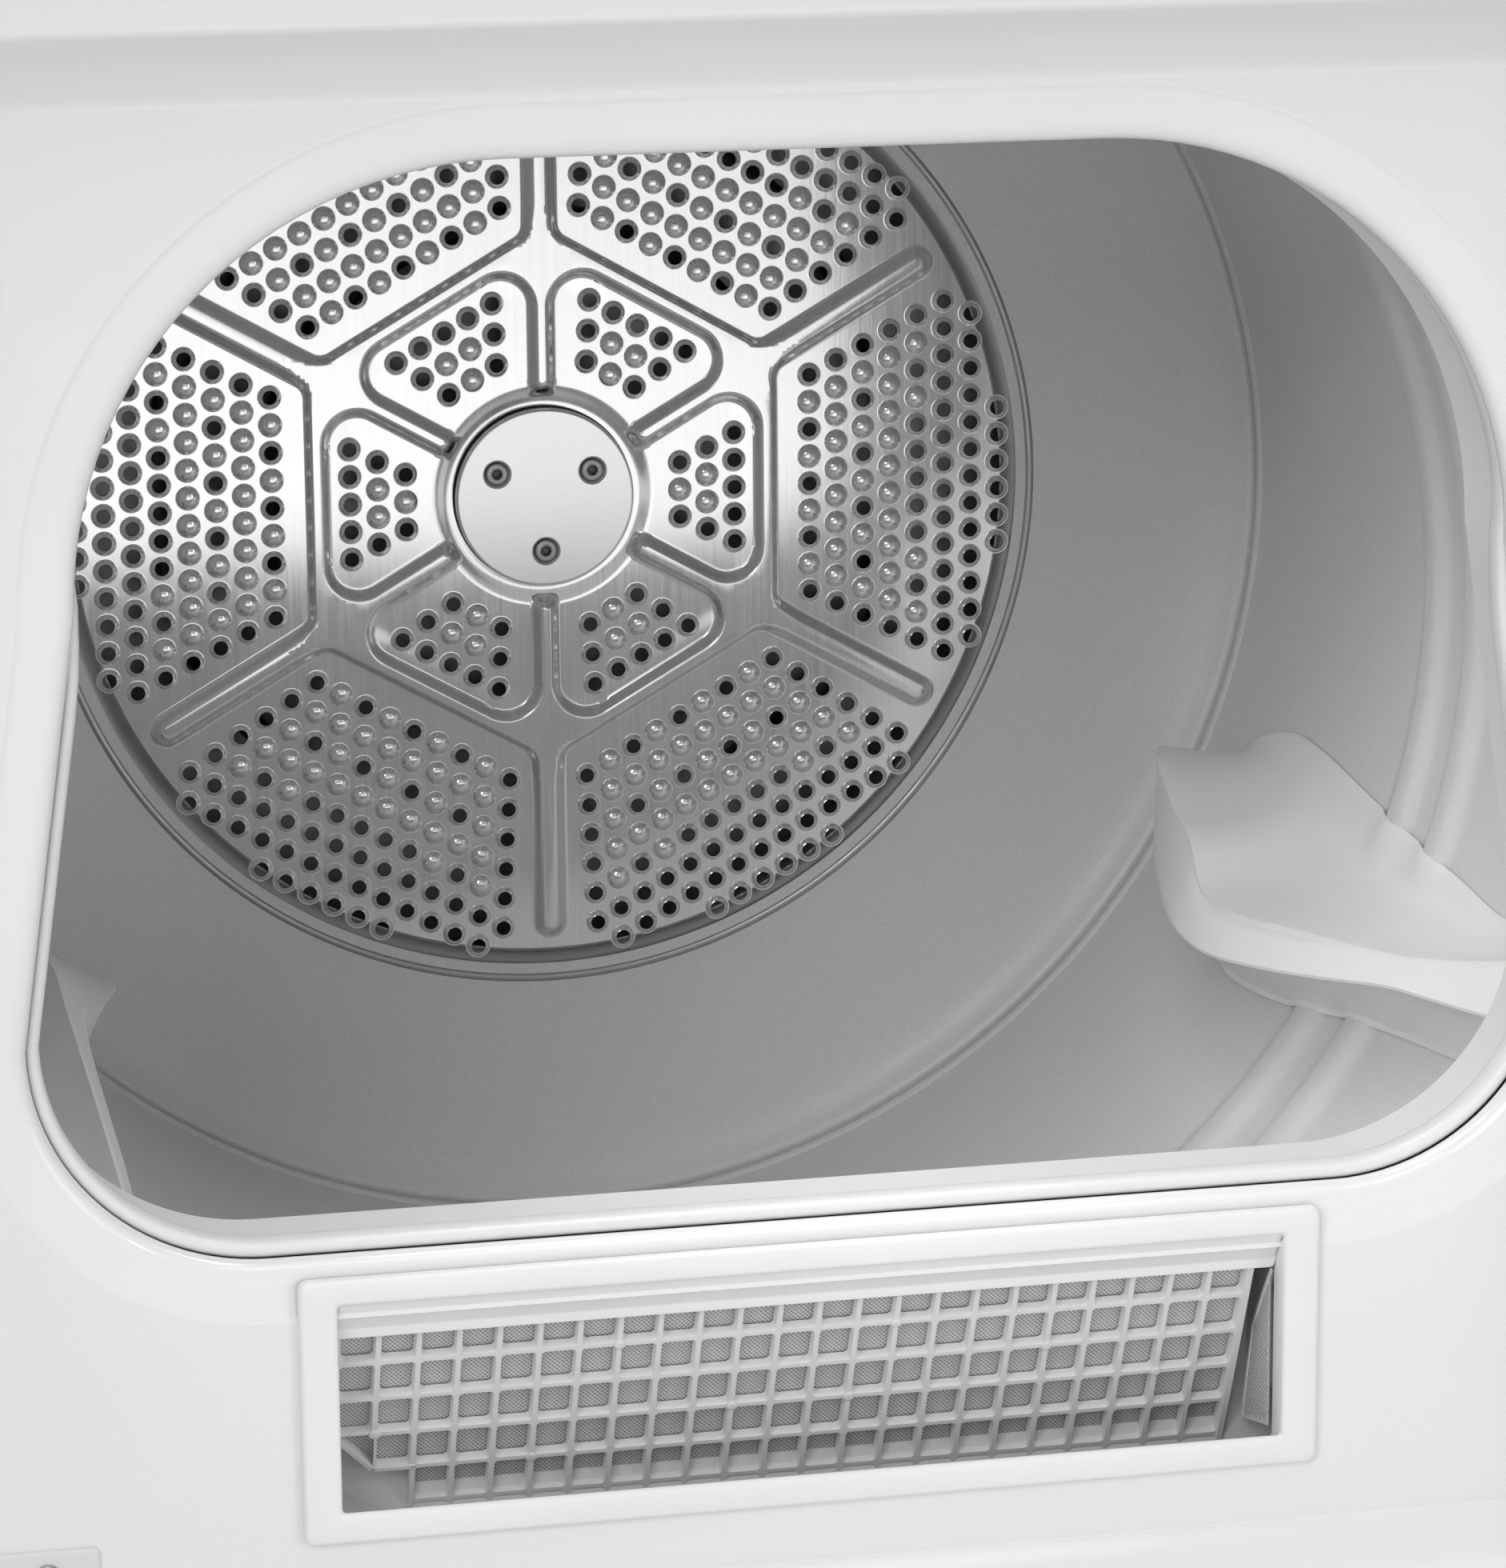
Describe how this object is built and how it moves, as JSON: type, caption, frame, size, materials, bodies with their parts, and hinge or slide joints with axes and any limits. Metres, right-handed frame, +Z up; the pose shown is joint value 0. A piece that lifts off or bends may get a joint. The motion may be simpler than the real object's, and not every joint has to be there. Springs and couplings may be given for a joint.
{
  "type": "clothes dryer",
  "caption": "Full-size vented front-loading tumble dryer, door standing open on a drum with a perforated back, lint port under the opening, console at the rear.",
  "frame": {"origin": "on the floor under the middle of the cabinet", "axes": "+Z up, the front with the loading opening faces -Y, the exhaust collar points along +Y out of the back, +X is to the right seen from the front"},
  "size_m": [1.2723, 0.9557, 1.067],
  "materials": {
    "white_enamel": "glossy baked enamel",
    "white_plastic": "satin moulded",
    "grey_plastic": "satin moulded",
    "filter_screen": "fine woven screen",
    "drum_paint": "smooth satin coating",
    "stainless": "brushed",
    "plated_steel": "zinc plated",
    "dark_steel": "oiled",
    "brass": "sintered",
    "felt": "pressed felt",
    "glide": "smooth",
    "black_rubber": "matt",
    "seal_rubber": "matt"
  },
  "bodies": {
    "cabinet": {"base_pan": "plated_steel", "left_side_panel": "white_enamel", "right_side_panel": "white_enamel", "rear_panel": "plated_steel", "top_deck": "white_enamel", "front_panel": "white_enamel", "front_bulkhead": "white_plastic", "drum_glides": "glide", "front_drum_seal": "felt", "lint_bezel": "white_plastic", "lint_duct": "grey_plastic", "blower_housing": "grey_plastic", "blower_cover": "grey_plastic", "exhaust_duct": "plated_steel", "heater_housing": "plated_steel", "heater_coils": "dark_steel", "rear_drum_seal": "felt", "rear_bearing_housing": "plated_steel", "rear_bearing_sleeve": "brass", "drive_belt": "black_rubber", "motor_housing": "dark_steel", "motor_bracket": "plated_steel", "console_shell": "white_enamel", "control_fascia": "white_enamel", "terminal_cover": "plated_steel", "hinge_brackets": "plated_steel", "hinge_pins": "plated_steel", "door_catch": "white_plastic", "door_switch_body": "white_plastic", "hinge_hole_covers": "white_plastic", "cabinet_screws": "plated_steel"},
    "drum": {"drum_shell": "drum_paint", "drum_back": "drum_paint", "perforated_plate": "stainless", "hub_disc": "stainless", "hub_screws": "dark_steel", "baffle_1": "white_plastic", "baffle_2": "white_plastic", "baffle_3": "white_plastic", "drum_shaft": "plated_steel"},
    "motor_rotor": {"motor_shaft": "plated_steel", "blower_wheel": "grey_plastic"},
    "idler_arm": {"idler_arm": "plated_steel"},
    "idler_pulley": {"idler_pulley": "grey_plastic"},
    "lint_filter": {"lint_filter_frame": "grey_plastic", "lint_filter_mesh": "filter_screen"},
    "door": {"door_outer_panel": "white_enamel", "door_inner_panel": "white_plastic", "door_handle": "white_plastic", "door_seal": "seal_rubber", "door_hinge_straps": "plated_steel", "door_strike": "plated_steel"},
    "timer_knob": {"timer_knob": "white_plastic"},
    "selector_knob": {"selector_knob": "white_plastic"},
    "start_button": {"start_button": "white_plastic"},
    "door_switch_button": {"door_switch_button": "white_plastic"},
    "foot_front_left": {"foot_front_left": "black_rubber"},
    "foot_front_right": {"foot_front_right": "black_rubber"},
    "foot_rear_left": {"foot_rear_left": "black_rubber"},
    "foot_rear_right": {"foot_rear_right": "black_rubber"}
  },
  "joints": [
    {"name": "door_hinge", "type": "hinge", "parent": "cabinet", "child": "door", "pos_m": [0.321, -0.37, 0.545], "axis": [0, 0, 1], "range_deg": [-165, 0]},
    {"name": "drum_spin", "type": "hinge", "parent": "cabinet", "child": "drum", "pos_m": [0, 0, 0.545], "axis": [0, 1, 0], "continuous": true},
    {"name": "motor_spin", "type": "hinge", "parent": "cabinet", "child": "motor_rotor", "pos_m": [0.165, 0, 0.118], "axis": [0, 1, 0], "continuous": true},
    {"name": "idler_arm_pivot", "type": "hinge", "parent": "cabinet", "child": "idler_arm", "pos_m": [0.092, 0.101, 0.046], "axis": [0, 1, 0], "range_deg": [-5, 0], "stiffness_Nm_per_rad": 3, "springref_deg": 17.19},
    {"name": "idler_pulley_spin", "type": "hinge", "parent": "idler_arm", "child": "idler_pulley", "pos_m": [0.0942, 0.108, 0.1087], "axis": [0, 1, 0], "continuous": true},
    {"name": "lint_filter_slide", "type": "slide", "parent": "cabinet", "child": "lint_filter", "axis": [0, -0.9272, 0.3746], "range_m": [0, 0.11]},
    {"name": "timer_turn", "type": "hinge", "parent": "cabinet", "child": "timer_knob", "pos_m": [0.19, 0.24603, 0.989], "axis": [0, -0.983, 0.1839], "continuous": true},
    {"name": "selector_turn", "type": "hinge", "parent": "cabinet", "child": "selector_knob", "pos_m": [0.06, 0.24603, 0.989], "axis": [0, -0.983, 0.1839], "range_deg": [-120, 0]},
    {"name": "start_press", "type": "slide", "parent": "cabinet", "child": "start_button", "axis": [0, 0.983, -0.1839], "range_m": [0, 0.003], "stiffness_N_per_m": 400},
    {"name": "door_switch_press", "type": "slide", "parent": "cabinet", "child": "door_switch_button", "axis": [0, 1, 0], "range_m": [0, 0.002], "stiffness_N_per_m": 300},
    {"name": "foot_front_left_level", "type": "slide", "parent": "cabinet", "child": "foot_front_left", "axis": [0, 0, -1], "range_m": [0, 0.012]},
    {"name": "foot_front_right_level", "type": "slide", "parent": "cabinet", "child": "foot_front_right", "axis": [0, 0, -1], "range_m": [0, 0.012]},
    {"name": "foot_rear_left_level", "type": "slide", "parent": "cabinet", "child": "foot_rear_left", "axis": [0, 0, -1], "range_m": [0, 0.012]},
    {"name": "foot_rear_right_level", "type": "slide", "parent": "cabinet", "child": "foot_rear_right", "axis": [0, 0, -1], "range_m": [0, 0.012]}
  ],
  "couplings": [
    {"joint": "motor_spin", "follows": "drum_spin", "ratio": 31.029},
    {"joint": "idler_pulley_spin", "follows": "drum_spin", "ratio": -12.531}
  ]
}
